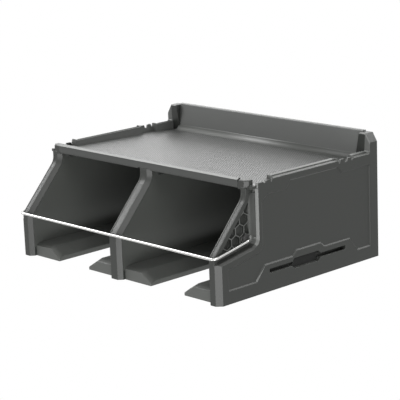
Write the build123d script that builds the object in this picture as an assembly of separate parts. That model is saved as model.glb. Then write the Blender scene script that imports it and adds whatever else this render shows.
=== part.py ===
from build123d import *
import math
import os

# Wall-mounted rack for two power tools, in millimetres.
# X runs to the right, Y runs into the wall (the wall plane is Y = 0) and Z runs up.
# Everything is modelled with the underside at Z = 0, and at the end it is moved down so
# that the origin is the centre of the wall screw pattern.

# Overall sizes
WIDTH = 440.0
DEPTH = 336.0
HALF = WIDTH / 2
GAP = 0.2  # assembly gap between neighbouring pieces

# Side view of a wall: foot, inclined front edge, upper front edge
KNEE_LOW_Z = 68.0
KNEE_TOP_Z = 140.0
FRONT_TOP_Y = -270.5
KNEE_LOW_R = 16.0
KNEE_TOP_R = 18.0

# Walls and their front posts
SIDE_T = 24.0
SIDE_IN = HALF - SIDE_T
SKIN = 3.0
OUTER_CHAMFER = 7.5
INNER_CHAMFER = 6.0
POST_FACE_IN = SIDE_IN + INNER_CHAMFER
POST_FACE_OUT = HALF - OUTER_CHAMFER
DIVIDER_HALF = 13.0
DIVIDER_CHAMFER = 6.0
BAND_DEPTH = 0.5
BAND_HALF = 5.0
SIDE_BAND_HALF = 3.0
PLATE_MARGIN = 9.0
CAVITY_MARGIN = 14.0

# Tray deck: it falls slightly towards the wall
DECK_T = 4.0
DECK_FRONT_Y = -264.0
DECK_REAR_Y = -17.5
DECK_FRONT_Z = 157.0
DECK_REAR_Z = 150.0
DECK_HALF = HALF - 12.0
RIB_T = 2.4
RIB_DROP = 9.0
BEAM_BOTTOM_Z = 155.0
BEAM_TOP_Z = 167.2
BEAM_EDGE_R = 1.6
POST_TOP_Z = BEAM_BOTTOM_Z - GAP

# Side rims: thin notched walls for stacking a box, as (front Y, rear Y, top Z)
RIM_T = 3.0
RIM_BLOCKS = [
    (-257.0, -242.0, 160.0),
    (-238.0, -228.5, 160.8),
    (-225.5, -86.5, 165.3),
    (-82.5, -72.5, 163.2),
    (-66.5, -58.0, 163.0),
    (-54.5, -10.0, 164.0),
]
RIM_NOTCH_Z = 158.0
RIM_SLANT = 1.8
LONG_RAIL = RIM_BLOCKS[2]
REAR_RAIL = RIM_BLOCKS[5]
RAIL_T = 11.8
RAIL_CHAMFER = 1.5

# Caps on the front posts, one at each end of the beam
CAP_FRONT_Y = -270.0
CAP_SIDE_X = 213.0
CAP_CORNER = 5.5
CAP_TOP_Z = 165.0
BRIDGE_FRONT_Y = -267.0
BRIDGE_SIDE_X = 219.0

# Rear towers and the upstand between them
TOWER_FRONT_Y = -17.0
TOWER_TOP_Z = 190.0
TOWER_FOOT_X = 191.0
TOWER_HEAD_X = 199.0
TOWER_BASE_Z = 147.2
UPSTAND_TOP_Z = 192.0
UPSTAND_HEAD_Y = -7.5
PANEL_T = 4.0

# Recess for the bail in the outer face of each side wall
RECESS_REAR_Y = -257.0
RECESS_LIP_X = 212.0
RECESS_FLOOR_X = 205.0
RECESS_LOW_FRONT = (-345.0, 57.0)
RECESS_LOW_REAR = (-266.0, 70.5)
RECESS_CORNER_R = 9.0
LIP_T = 7.0
HEX_PITCH = 16.6
HEX_RIB_W = 2.0
HEX_DEPTH = 3.0
HEX_EDGE = 4.6
HEX_LEAST_AREA = 12.0
COVE_R = 4.0
RECESS_BEVEL = 3.0
RECESS_BEVEL_DEPTH = 4.0
HEX_CENTRE = (-285.8, 80.5)

# Stepped shallow field and the slot in the outer face
FIELD_DEPTH = 1.8
FIELD_BEVEL = 2.2
FIELD_POINTS = [
    (-317.0, 18.5), (-262.0, 18.5), (-244.0, 39.5), (-186.5, 39.5), (-179.0, 47.0),
    (-128.0, 47.0), (-120.0, 40.0), (-64.5, 40.0), (-47.0, 19.0), (-16.5, 19.0),
    (-16.5, 144.5), (-78.5, 144.5), (-88.5, 154.5), (-188.0, 154.5), (-198.0, 142.0),
    (-236.0, 142.0), (-248.0, 132.0), (-248.0, 68.0), (-256.0, 61.5), (-317.0, 50.5),
]
SLOT_FRONT_Y = -235.5
SLOT_REAR_Y = -74.5
SLOT_MID_Z = 30.0
SLOT_H = 6.0
SLOT_DEPTH = 9.0
SLOT_WIDE_Y = (-189.0, -129.0)
SLOT_WIDE_H = 15.0
SLOT_WIDE_DEPTH = 4.5
SLOT_WIDE_CORNER = 4.5

# Bail: one bent steel wire
WIRE_R = 2.0
BAIL_ARM_X = 215.5
BAIL_BAR_Y = -DEPTH - WIRE_R - 0.3
BAIL_BAR_Z = 67.5
PIVOT_Y = -268.0
PIVOT_Z = 81.5
BAIL_BEND_R = 7.0
BAIL_END_X = 199.7
CLIP_X = BAIL_END_X + 1.3
BUSH_BORE_R = WIRE_R + 0.06
BUSH_R = 4.0
BUSH_FLANGE_R = 6.0
CLIP_R = 5.5

# Bay floors: two cradle ledges each side of an open slot
FLOOR_FRONT_Y = -327.0
FLOOR_REAR_Y = -PANEL_T - GAP
SLOT_GAP = 70.0
SLOT_END_Y = -44.0
SLOT_END_R = 12.0
LEDGE_TOP_Z = 20.0
LEDGE_TIP_Z = 7.6
LEDGE_SLOPE_W = 20.0
LEDGE_BEVEL_RUN = 11.0
LEDGE_BEVEL_DROP = 3.4
LEDGE_WALL = 3.0
LEDGE_CROWN_R = 7.0

# Screws
SCREW_R = 1.75
SCREW_HEAD_R = 3.6
SCREW_HEAD_H = 2.2
SCREW_L = 11.0
FLOOR_SCREW_Z = 5.0
FLANGE_SCREW_Y = -11.4

# Wall screw pattern
MOUNT_DX = 320.0
MOUNT_DZ = 90.0
MOUNT_Z = 85.0
MOUNT_HOLE_R = 3.0
MOUNT_PAD_R = 9.0
MOUNT_PAD_H = 3.0


def block(x0, x1, y0, y1, z0, z1):
    """Box between two corners."""
    size = Box(x1 - x0, y1 - y0, z1 - z0)
    return Pos((x0 + x1) / 2, (y0 + y1) / 2, (z0 + z1) / 2) * size


def side_prism(sketch, x0, x1):
    """Sketch in side view (its X is Y, its Y is Z), extruded from x0 to x1."""
    return extrude(Plane.YZ.offset(x0) * sketch, amount=x1 - x0, dir=(1, 0, 0))


def front_prism(sketch, y0, y1):
    """Sketch in front view (its X is X, its Y is Z), extruded from y0 to y1."""
    plane = Plane((0, y0, 0), x_dir=(1, 0, 0), z_dir=(0, -1, 0))
    return extrude(plane * sketch, amount=y0 - y1, dir=(0, -1, 0))


def rod_x(y, z, radius, x0, x1):
    """Round bar along X."""
    return Pos((x0 + x1) / 2, y, z) * Rot(0, 90, 0) * Cylinder(radius, x1 - x0)


def rod_y(x, z, radius, y0, y1):
    """Round bar along Y."""
    return Pos(x, (y0 + y1) / 2, z) * Rot(90, 0, 0) * Cylinder(radius, y1 - y0)


def deck_top(y):
    """Height of the tray surface at depth y."""
    share = (y - DECK_FRONT_Y) / (DECK_REAR_Y - DECK_FRONT_Y)
    return DECK_FRONT_Z + (DECK_REAR_Z - DECK_FRONT_Z) * share


def shelf(y):
    """Height of the wall tops that carry the deck."""
    return deck_top(y) - DECK_T - GAP


def wall_outline():
    """Side view of a wall up to the deck, with both knees rounded."""
    outline = Polygon(
        (-DEPTH, 0),
        (0, 0),
        (0, shelf(0)),
        (DECK_FRONT_Y - GAP, shelf(DECK_FRONT_Y)),
        (DECK_FRONT_Y - GAP, POST_TOP_Z),
        (FRONT_TOP_Y, POST_TOP_Z),
        (FRONT_TOP_Y, KNEE_TOP_Z),
        (-DEPTH, KNEE_LOW_Z),
        align=None,
    )
    low = [v for v in outline.vertices() if abs(v.Y - KNEE_LOW_Z) < 0.1]
    outline = fillet(low, KNEE_LOW_R)
    top = [v for v in outline.vertices() if abs(v.Y - KNEE_TOP_Z) < 0.1 and v.X < FRONT_TOP_Y + 1]
    return fillet(top, KNEE_TOP_R)


def front_edges(body, x):
    """Edges of the front of a wall that lie in the plane X = x."""
    picked = []
    for edge in body.edges():
        middle = edge.center()
        in_plane = all(abs(v.X - x) < 0.01 for v in edge.vertices())
        if in_plane and middle.Y < FRONT_TOP_Y + 0.1 and 1 < middle.Z < POST_TOP_Z - 0.1:
            picked.append(edge)
    return picked


def band(outline, x_mid, half):
    """Cutter for the sunk band that runs down the inclined front edge."""
    shallow = outline - offset(outline, amount=-BAND_DEPTH)
    window = Polygon(
        (-DEPTH - 5, KNEE_LOW_Z + 2),
        (FRONT_TOP_Y + 5, KNEE_LOW_Z + 2),
        (FRONT_TOP_Y + 5, POST_TOP_Z - 6),
        (-DEPTH - 5, POST_TOP_Z - 6),
        align=None,
    )
    return side_prism(shallow & window, x_mid - half, x_mid + half)


def rail(front, rear, top):
    """Thick stretch of the rim beside the edge of the deck."""
    section = Polygon(
        (front - RIM_SLANT / 2, shelf(front) - 0.5),
        (rear + RIM_SLANT / 2, shelf(rear) - 0.5),
        (rear - RIM_SLANT / 2, top),
        (front + RIM_SLANT / 2, top),
        align=None,
    )
    body = side_prism(section, HALF - RAIL_T, HALF)
    long_edges = [
        e for e in body.edges()
        if abs(e.center().Z - top) < 0.01 and e.length > 0.5 * (rear - front)
    ]
    return chamfer(long_edges, RAIL_CHAMFER)


def rim():
    """Notched rim above the deck, with two rails and a groove along the longer one."""
    points = [(RIM_BLOCKS[0][0], shelf(RIM_BLOCKS[0][0]))]
    for front, rear, top in RIM_BLOCKS:
        first = front == RIM_BLOCKS[0][0]
        last = rear == RIM_BLOCKS[-1][1]
        if not first:
            points.append((front - RIM_SLANT / 2, RIM_NOTCH_Z))
        points.append((front + (0 if first else RIM_SLANT / 2), top))
        points.append((rear - (0 if last else RIM_SLANT / 2), top))
        if not last:
            points.append((rear + RIM_SLANT / 2, RIM_NOTCH_Z))
    points.append((RIM_BLOCKS[-1][1], shelf(0)))
    body = side_prism(Polygon(*points, align=None), HALF - RIM_T, HALF)
    for front, rear, top in (LONG_RAIL, REAR_RAIL):
        body -= block(HALF - RIM_T - 1, HALF + 1, front - 1, rear + 1, top - 4, top + 1)
        body += rail(front, rear, top)
    front, rear, top = LONG_RAIL
    middle = HALF - RAIL_T / 2
    return body - block(middle - 2, middle + 2, front + 6, rear - 6, top - 1.2, top + 1)


def post_cap():
    """Cap on the front post beside the beam, with a bridge across the top of the recess."""
    rear = RECESS_REAR_Y - GAP
    plan = Polygon(
        (SIDE_IN, CAP_FRONT_Y),
        (CAP_SIDE_X - CAP_CORNER, CAP_FRONT_Y),
        (CAP_SIDE_X, CAP_FRONT_Y + CAP_CORNER),
        (CAP_SIDE_X, rear),
        (SIDE_IN, rear),
        align=None,
    )
    base_z = shelf(DECK_FRONT_Y) - 1
    cap = extrude(Pos(0, 0, base_z) * plan, amount=CAP_TOP_Z - base_z, dir=(0, 0, 1))
    front_top = [
        e for e in cap.edges()
        if abs(e.center().Z - CAP_TOP_Z) < 0.01 and e.center().Y < CAP_FRONT_Y + CAP_CORNER - 1
    ]
    cap = fillet(front_top, BEAM_EDGE_R)
    low, high = shelf(DECK_FRONT_Y), deck_top(DECK_FRONT_Y)
    cap += block(RECESS_LIP_X, BRIDGE_SIDE_X, BRIDGE_FRONT_Y, rear, low, high)
    inner = HALF - RIM_T + GAP
    return cap + block(inner, BRIDGE_SIDE_X, rear - 1, RECESS_REAR_Y + 1, low, high)


def tower_inner_x(z):
    """Inner side of a tower at height z: it leans outwards going up."""
    share = (z - DECK_REAR_Z) / (TOWER_TOP_Z - DECK_REAR_Z)
    return TOWER_FOOT_X + (TOWER_HEAD_X - TOWER_FOOT_X) * share


def tower():
    """Rear corner block: its inner side leans and its outer top corner is cut off."""
    face = Polygon(
        (SIDE_IN, TOWER_BASE_Z - 4),
        (HALF, TOWER_BASE_Z - 4),
        (HALF, TOWER_TOP_Z - 13),
        (HALF - 8, TOWER_TOP_Z),
        (TOWER_HEAD_X, TOWER_TOP_Z),
        (tower_inner_x(TOWER_BASE_Z), TOWER_BASE_Z),
        (SIDE_IN, TOWER_BASE_Z),
        align=None,
    )
    body = front_prism(face, 0, TOWER_FRONT_Y)
    front_top = [
        e for e in body.edges()
        if e.center().Z > TOWER_TOP_Z - 8 and abs(e.center().Y - TOWER_FRONT_Y) < 0.01
        and e.length < SIDE_T
    ]
    return chamfer(front_top, 1.5)


def recess_region():
    """Side view of the recess: open to the front and top, rounded at its lower rear corner."""
    region = Polygon(
        RECESS_LOW_FRONT,
        RECESS_LOW_REAR,
        (RECESS_REAR_Y, RECESS_LOW_REAR[1] + 6),
        (RECESS_REAR_Y, 200),
        (RECESS_LOW_FRONT[0], 200),
        align=None,
    )
    corner = [v for v in region.vertices() if abs(v.Y - RECESS_LOW_REAR[1] - 3) < 4]
    return fillet(corner, RECESS_CORNER_R)


def hex_cells(area):
    """Honeycomb cells that sink into the recess floor, clear of the pivot."""
    radius = (HEX_PITCH - HEX_RIB_W) / math.sqrt(3)
    row_step = HEX_PITCH * math.sqrt(3) / 2
    cells = Sketch()
    for row in range(-2, 6):
        for column in range(-4, 4):
            y = HEX_CENTRE[0] + (column + (row % 2) / 2) * HEX_PITCH
            z = HEX_CENTRE[1] + row * row_step
            cells += Pos(y, z) * RegularPolygon(radius, 6, rotation=30)
    cells = (cells & area) - Pos(PIVOT_Y, PIVOT_Z) * Circle(BUSH_FLANGE_R + 1.2)
    return [cell for cell in cells.faces() if cell.area > HEX_LEAST_AREA]


def recess_pocket(outline):
    """Cutter for the deep part of the recess, behind the lip, with a cove along its rear."""
    pocket = side_prism(recess_region() & offset(outline, amount=-LIP_T), RECESS_FLOOR_X, HALF + 1)
    cove = []
    for edge in pocket.edges():
        middle = edge.center()
        on_floor = all(abs(v.X - RECESS_FLOOR_X) < 0.01 for v in edge.vertices())
        rear = middle.Y > RECESS_REAR_Y - 3 and middle.Z < shelf(RECESS_REAR_Y) - LIP_T - 1
        low = middle.Z < RECESS_LOW_REAR[1] + 6 and middle.Y > -DEPTH + LIP_T + 4
        if on_floor and (rear or low):
            cove.append(edge)
    return fillet(cove, COVE_R)


def cut_bail_recess(body, outline):
    """Recess with its bevelled border, lip, honeycomb floor and pivot hole."""
    region = recess_region()
    body -= side_prism(region, RECESS_LIP_X, HALF + 1)
    border = offset(region, amount=RECESS_BEVEL, kind=Kind.INTERSECTION)
    inner_plane = Plane.YZ.offset(HALF - RECESS_BEVEL_DEPTH)
    body -= loft([inner_plane * region, Plane.YZ.offset(HALF) * border], ruled=True)
    body -= recess_pocket(outline)
    area = offset(region, amount=-HEX_EDGE, kind=Kind.INTERSECTION) & offset(outline, amount=-LIP_T)
    for cell in hex_cells(area):
        body -= side_prism(cell, RECESS_FLOOR_X - HEX_DEPTH, RECESS_FLOOR_X + 0.5)
    body -= rod_x(PIVOT_Y, PIVOT_Z, BUSH_R, SIDE_IN, HALF)
    body -= rod_x(PIVOT_Y, PIVOT_Z, CLIP_R + 2, SIDE_IN, RECESS_FLOOR_X - SKIN)
    return body


def cut_field(body):
    """Shallow stepped field with a bevelled border."""
    field = Polygon(*FIELD_POINTS, align=None)
    inner = offset(field, amount=-FIELD_BEVEL, kind=Kind.INTERSECTION)
    outer_plane = Plane.YZ.offset(HALF)
    floor_plane = Plane.YZ.offset(HALF - FIELD_DEPTH)
    body -= loft([outer_plane * field, floor_plane * inner], ruled=True)
    return body - side_prism(field, HALF, HALF + 1)


def slot_wide_outline():
    """Wide middle of the slot with its corners cut off."""
    front, rear = SLOT_WIDE_Y
    low = SLOT_MID_Z - SLOT_WIDE_H / 2
    high = SLOT_MID_Z + SLOT_WIDE_H / 2
    outline = Polygon((front, low), (rear, low), (rear, high), (front, high), align=None)
    return chamfer(outline.vertices(), SLOT_WIDE_CORNER)


def cut_side_slot(body):
    """Deep narrow slot that opens into a shallower wide middle."""
    low = SLOT_MID_Z - SLOT_H / 2
    front, rear = SLOT_WIDE_Y
    x0 = HALF - SLOT_DEPTH
    body -= block(x0, HALF + 1, SLOT_FRONT_Y, front + 6, low, low + SLOT_H)
    body -= block(x0, HALF + 1, rear - 6, SLOT_REAR_Y, low, low + SLOT_H)
    return body - side_prism(slot_wide_outline(), HALF - SLOT_WIDE_DEPTH, HALF + 1)


def wall_cavities(outline):
    """Hollows of a side wall, open towards its cover plate."""
    inside = offset(outline, amount=-CAVITY_MARGIN)
    behind = Polygon((-250, 0), (0, 0), (0, 200), (-250, 200), align=None)
    upper = Polygon((-400, 50), (0, 50), (0, 200), (-400, 200), align=None)
    lower = Polygon((-400, 0), (0, 0), (0, 46), (-400, 46), align=None)
    front = Polygon((-400, 0), (-254, 0), (-254, 46), (-400, 46), align=None)
    x0 = SIDE_IN + SKIN
    hollow = side_prism(inside & behind & upper, x0, HALF - SKIN - FIELD_DEPTH)
    hollow += side_prism(inside & lower & behind, x0, HALF - SLOT_DEPTH - SKIN)
    hollow += side_prism(inside & front, x0, HALF - SKIN - FIELD_DEPTH)
    for y in (-195.0, -140.0, -85.0):
        hollow -= block(x0 - 1, HALF, y - 1.5, y + 1.5, 0, 200)
    return hollow


def side_panel():
    """Right-hand side wall: one moulding with post, rim, tower, recess, field and slot."""
    outline = wall_outline()
    body = side_prism(outline, SIDE_IN, HALF)
    body = chamfer(front_edges(body, SIDE_IN), INNER_CHAMFER)
    body = chamfer(front_edges(body, HALF), OUTER_CHAMFER)
    body -= band(outline, (POST_FACE_IN + POST_FACE_OUT) / 2, SIDE_BAND_HALF)
    body += rim()
    body += tower()
    body = cut_bail_recess(body, outline)
    body += post_cap()
    body = cut_field(body)
    body = cut_side_slot(body)
    body -= side_prism(offset(outline, amount=-PLATE_MARGIN + GAP), SIDE_IN - 1, SIDE_IN + SKIN + GAP)
    return body - wall_cavities(outline)


def inner_wall():
    """Flat plate that closes the right-hand side wall on the bay side."""
    return side_prism(offset(wall_outline(), amount=-PLATE_MARGIN), SIDE_IN, SIDE_IN + SKIN)


def divider_outline():
    """Side view of the divider: as a side wall, but it stops at the back panel."""
    behind = Polygon((-400, 0), (FLOOR_REAR_Y, 0), (FLOOR_REAR_Y, 200), (-400, 200), align=None)
    return wall_outline() & behind


def centre_divider():
    """Wall between the bays, hollow towards its cover plate on the left."""
    outline = divider_outline()
    body = side_prism(outline, -DIVIDER_HALF, DIVIDER_HALF)
    body = chamfer(front_edges(body, DIVIDER_HALF), DIVIDER_CHAMFER)
    body = chamfer(front_edges(body, -DIVIDER_HALF), DIVIDER_CHAMFER)
    body -= band(outline, 0, BAND_HALF)
    rebate = offset(outline, amount=-PLATE_MARGIN + GAP)
    body -= side_prism(rebate, -DIVIDER_HALF - 1, -DIVIDER_HALF + SKIN + GAP)
    hollow = side_prism(
        offset(outline, amount=-CAVITY_MARGIN), -DIVIDER_HALF + SKIN, DIVIDER_HALF - SKIN
    )
    for y in (-250.0, -190.0, -130.0, -70.0):
        hollow -= block(-DIVIDER_HALF, DIVIDER_HALF, y - 1.5, y + 1.5, 0, 200)
    return body - hollow


def divider_cover():
    """Flat plate that closes the divider on the left-hand bay side."""
    outline = offset(divider_outline(), amount=-PLATE_MARGIN)
    return side_prism(outline, -DIVIDER_HALF, -DIVIDER_HALF + SKIN)


def deck_plate(half_width, y0, y1):
    """Flat stretch of the deck between two depths."""
    section = Polygon(
        (y0, deck_top(y0)),
        (y0, deck_top(y0) - DECK_T),
        (y1, deck_top(y1) - DECK_T),
        (y1, deck_top(y1)),
        align=None,
    )
    return side_prism(section, -half_width, half_width)


def deck_ribs():
    """Ribs under the deck, inside the bays."""
    edge_in = DIVIDER_HALF + GAP
    edge_out = SIDE_IN - GAP
    section = Polygon(
        (-255, deck_top(-255) - DECK_T),
        (-255, deck_top(-255) - DECK_T - RIB_DROP),
        (-24, deck_top(-24) - DECK_T - RIB_DROP),
        (-24, deck_top(-24) - DECK_T),
        align=None,
    )
    ribs = side_prism(section, edge_in, edge_in + RIB_T)
    ribs += side_prism(section, edge_out - RIB_T, edge_out)
    for y in (-225.0, -165.0, -105.0, -45.0):
        top = deck_top(y) - DECK_T + 0.3
        ribs += block(edge_in, edge_out, y, y + RIB_T, top - RIB_DROP, top)
    return ribs + mirror(ribs, about=Plane.YZ)


def front_beam():
    """Beam along the front of the deck, rounded along its front edges."""
    half = SIDE_IN - GAP
    beam = block(-half, half, FRONT_TOP_Y, DECK_FRONT_Y, BEAM_BOTTOM_Z, BEAM_TOP_Z)
    long_edges = beam.edges().filter_by(Axis.X)
    beam = fillet([e for e in long_edges if e.center().Z > BEAM_TOP_Z - 1], BEAM_EDGE_R)
    lip_in = DIVIDER_HALF + GAP
    lip_out = SIDE_IN - GAP
    low = deck_top(DECK_FRONT_Y) - DECK_T
    lip = block(lip_in, lip_out, FRONT_TOP_Y + 1.5, DECK_FRONT_Y + 1, low, BEAM_BOTTOM_Z + 1)
    return beam + lip + mirror(lip, about=Plane.YZ)


def tray_deck():
    """Tray with its front beam and the ribs underneath."""
    deck = deck_plate(DECK_HALF, RECESS_REAR_Y, DECK_REAR_Y)
    deck += deck_plate(SIDE_IN - GAP, DECK_FRONT_Y, RECESS_REAR_Y + 1)
    tab_half = HALF - RIM_T - GAP
    deck += deck_plate(tab_half, RECESS_REAR_Y, LONG_RAIL[0] - RIM_SLANT)
    deck += deck_plate(tab_half, LONG_RAIL[1] + RIM_SLANT, REAR_RAIL[0] - RIM_SLANT)
    deck += front_beam()
    return deck + deck_ribs()


def upstand():
    """Rail above the tray: its front face leans back and it is ribbed behind."""
    foot_z = shelf(DECK_REAR_Y)
    base = deck_top(DECK_REAR_Y) + GAP
    section = Polygon(
        (0, foot_z),
        (0, UPSTAND_TOP_Z - 1),
        (-1, UPSTAND_TOP_Z),
        (UPSTAND_HEAD_Y + 1.5, UPSTAND_TOP_Z),
        (UPSTAND_HEAD_Y, UPSTAND_TOP_Z - 2),
        (TOWER_FRONT_Y, base + 4.5),
        (TOWER_FRONT_Y - 4, base + 0.3),
        (TOWER_FRONT_Y - 4, base),
        (TOWER_FRONT_Y, base),
        (TOWER_FRONT_Y, foot_z),
        align=None,
    )
    body = side_prism(section, -HALF, HALF)
    foot = tower_inner_x(foot_z - 5) - GAP
    head = tower_inner_x(UPSTAND_TOP_Z + 1) - GAP
    face = Polygon(
        (-foot, foot_z - 5),
        (foot, foot_z - 5),
        (head, UPSTAND_TOP_Z + 1),
        (-head, UPSTAND_TOP_Z + 1),
        align=None,
    )
    body &= front_prism(face, 1, -60)
    hollow = Polygon(
        (-3, foot_z + 3),
        (1, foot_z + 3),
        (1, UPSTAND_TOP_Z - 4),
        (UPSTAND_HEAD_Y + 3, UPSTAND_TOP_Z - 4),
        (TOWER_FRONT_Y + 3, foot_z + 7),
        (TOWER_FRONT_Y + 3, foot_z + 3),
        align=None,
    )
    rib_count = 6
    pitch = 2 * (foot - 6) / rib_count
    for i in range(rib_count):
        x0 = -foot + 6 + i * pitch
        body -= side_prism(hollow, x0 + RIB_T / 2, x0 + pitch - RIB_T / 2)
    return body


def mount_points():
    """Centres of the wall screw holes."""
    return [
        (sx * MOUNT_DX / 2, MOUNT_Z + sz * MOUNT_DZ / 2)
        for sx in (-1, 1)
        for sz in (-1, 1)
    ]


def back_panel():
    """Wall plate behind both bays, with the upstand on top and side flanges."""
    half = SIDE_IN - GAP
    top = shelf(DECK_REAR_Y) + 1
    body = block(-half, half, -PANEL_T, 0, 3, top)
    body += upstand()
    for side in (-1, 1):
        x0, x1 = sorted((side * half, side * (half - SKIN)))
        body += block(x0, x1, -22, 0, 28, top - DECK_T - RIB_DROP - 4)
    for x, z in mount_points():
        pad = Pos(x, z) * RegularPolygon(MOUNT_PAD_R, 8)
        body += front_prism(pad, 0, -PANEL_T - MOUNT_PAD_H)
    for x, z in mount_points():
        body -= rod_y(x, z, MOUNT_HOLE_R, -PANEL_T - MOUNT_PAD_H - 1, 1)
    for z in (50.0, 120.0):
        pocket = Pos(0, z) * RegularPolygon(SCREW_HEAD_R + 0.7, 8)
        body -= front_prism(pocket, 1, -SCREW_HEAD_H - 0.2)
    return body


def ledge_profile(wall_x, tip_x, drop):
    """Front view of a ledge: flat by the wall, then sloping down to the slot."""
    side = 1 if tip_x > wall_x else -1
    outline = Polygon(
        (wall_x, 0),
        (tip_x, 0),
        (tip_x, LEDGE_TIP_Z - drop),
        (tip_x - side * LEDGE_SLOPE_W, LEDGE_TOP_Z - drop),
        (wall_x, LEDGE_TOP_Z - drop),
        align=None,
    )
    crown = [v for v in outline.vertices() if v.Y > LEDGE_TIP_Z + 1 and abs(v.X - wall_x) > 1]
    return fillet(crown, LEDGE_CROWN_R)


def ledge(wall_x, tip_x):
    """One cradle ledge with a ramp behind its front wall and a hollow underside."""
    side = 1 if tip_x > wall_x else -1
    ramp_y = FLOOR_FRONT_Y + LEDGE_BEVEL_RUN
    front_plane = Plane((0, FLOOR_FRONT_Y, 0), x_dir=(1, 0, 0), z_dir=(0, -1, 0))
    rear_plane = Plane((0, ramp_y, 0), x_dir=(1, 0, 0), z_dir=(0, -1, 0))
    low = front_plane * ledge_profile(wall_x, tip_x, LEDGE_BEVEL_DROP)
    full = ledge_profile(wall_x, tip_x, 0)
    body = loft([low, rear_plane * full], ruled=True)
    body += front_prism(full, FLOOR_REAR_Y, ramp_y)
    inner = Polygon(
        (wall_x + side * LEDGE_WALL, -1),
        (tip_x - side * LEDGE_WALL, -1),
        (tip_x - side * LEDGE_WALL, LEDGE_TIP_Z - LEDGE_WALL),
        (tip_x - side * (LEDGE_SLOPE_W + 1.5), LEDGE_TOP_Z - LEDGE_WALL),
        (wall_x + side * LEDGE_WALL, LEDGE_TOP_Z - LEDGE_WALL),
        align=None,
    )
    return body - front_prism(inner, SLOT_END_Y + 4, ramp_y + 1)


def bay_floor():
    """Right-hand bay floor: two ledges joined behind the slot."""
    x0 = DIVIDER_HALF + GAP
    x1 = SIDE_IN - GAP
    middle = (x0 + x1) / 2
    body = ledge(x0, middle - SLOT_GAP / 2)
    body += ledge(x1, middle + SLOT_GAP / 2)
    body += block(x0 + 10, x1 - 10, SLOT_END_Y, FLOOR_REAR_Y, 0, LEDGE_TIP_Z)
    ends = [
        e for e in body.edges().filter_by(Axis.Z)
        if abs(e.center().Y - SLOT_END_Y) < 0.1 and abs(e.center().X - middle) < SLOT_GAP / 2 + 1
    ]
    return fillet(ends, SLOT_END_R)


def retaining_bail():
    """Steel wire bail: crossbar, two arms and two inward pivot legs."""
    path = FilletPolyline(
        (-BAIL_END_X, PIVOT_Y, PIVOT_Z),
        (-BAIL_ARM_X, PIVOT_Y, PIVOT_Z),
        (-BAIL_ARM_X, BAIL_BAR_Y, BAIL_BAR_Z),
        (BAIL_ARM_X, BAIL_BAR_Y, BAIL_BAR_Z),
        (BAIL_ARM_X, PIVOT_Y, PIVOT_Z),
        (BAIL_END_X, PIVOT_Y, PIVOT_Z),
        radius=BAIL_BEND_R,
    )
    start = Plane(origin=path @ 0, z_dir=path % 0)
    return sweep(start * Circle(WIRE_R), path=path)


def pivot_bush():
    """Flanged bush in the right-hand side wall that the bail's leg turns in."""
    bush = rod_x(PIVOT_Y, PIVOT_Z, BUSH_R - 0.05, RECESS_FLOOR_X - SKIN, RECESS_FLOOR_X + 0.5)
    bush += rod_x(PIVOT_Y, PIVOT_Z, BUSH_FLANGE_R, RECESS_FLOOR_X + 0.1, RECESS_FLOOR_X + 2)
    return bush - rod_x(PIVOT_Y, PIVOT_Z, BUSH_BORE_R, SIDE_IN, HALF)


def bail_clip():
    """Push-on washer on the end of the right-hand leg, behind the bush."""
    outline = Pos(PIVOT_Y, PIVOT_Z) * RegularPolygon(CLIP_R, 8)
    clip = side_prism(outline, CLIP_X - 0.3, CLIP_X + 0.3)
    return clip - rod_x(PIVOT_Y, PIVOT_Z, WIRE_R + 0.01, SIDE_IN, HALF)


def screw():
    """Hexagon-head screw along +Z, head underside at Z = 0, with a plain faceted shank."""
    head = extrude(RegularPolygon(SCREW_HEAD_R, 6), amount=SCREW_HEAD_H, dir=(0, 0, -1))
    return head + extrude(RegularPolygon(SCREW_R, 8), amount=SCREW_L, dir=(0, 0, 1))


def facing(x, y, z, side):
    """Place of a screw that points along +X (side 1) or -X (side -1)."""
    return Pos(x, y, z) * Rot(0, 90 * side, 0)


def floor_screw_places():
    """Screws through the ledges' wall sides, heads in the hollow undersides."""
    places = []
    for y in (-296.0, -80.0):
        for side in (-1, 1):
            wall = side * (SIDE_IN - GAP - LEDGE_WALL)
            middle = side * (DIVIDER_HALF + GAP + LEDGE_WALL)
            places.append(facing(wall, y, FLOOR_SCREW_Z, side))
            places.append(facing(middle, y + 12 * side, FLOOR_SCREW_Z, -side))
    return places


def deck_screw_places():
    """Screws through the deck's edge ribs into the tops of the walls."""
    places = []
    for y in (-240.0, -130.0, -60.0):
        z = deck_top(y) - DECK_T - 5.5
        for side in (-1, 1):
            places.append(facing(side * (SIDE_IN - GAP - RIB_T), y, z, side))
    return places


def panel_screw_places():
    """Screws that hold the back panel to the side walls and the divider."""
    places = []
    for z in (50.0, 120.0):
        for side in (-1, 1):
            places.append(facing(side * (SIDE_IN - GAP - SKIN), FLANGE_SCREW_Y, z - 10, side))
        places.append(Pos(0, -SCREW_HEAD_H, z) * Rot(90, 0, 0) * Pos(0, 0, 0.2))
    return places


def screw_holes():
    """All screw shanks as cutters, a little larger than the screws."""
    hole = extrude(RegularPolygon(SCREW_R + 0.05, 8), amount=SCREW_L + 0.2, dir=(0, 0, 1))
    places = floor_screw_places() + deck_screw_places() + panel_screw_places()
    return Compound([place * hole for place in places])


def screws(places):
    """One group of identical screws."""
    return Compound([place * screw() for place in places])


def both_sides(name, part):
    """A right-hand piece and its mirror image, by node name."""
    return {"right_" + name: part, "left_" + name: mirror(part, about=Plane.YZ)}


def drilled_parts():
    """Pieces that the screws pass through or hold in."""
    pieces = both_sides("side_panel", side_panel())
    pieces |= both_sides("inner_wall", inner_wall())
    pieces |= both_sides("bay_floor", bay_floor())
    pieces["centre_divider"] = centre_divider()
    pieces["divider_cover"] = divider_cover()
    pieces["tray_deck"] = tray_deck()
    pieces["back_panel"] = back_panel()
    holes = screw_holes()
    return {name: piece - holes for name, piece in pieces.items()}


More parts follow.
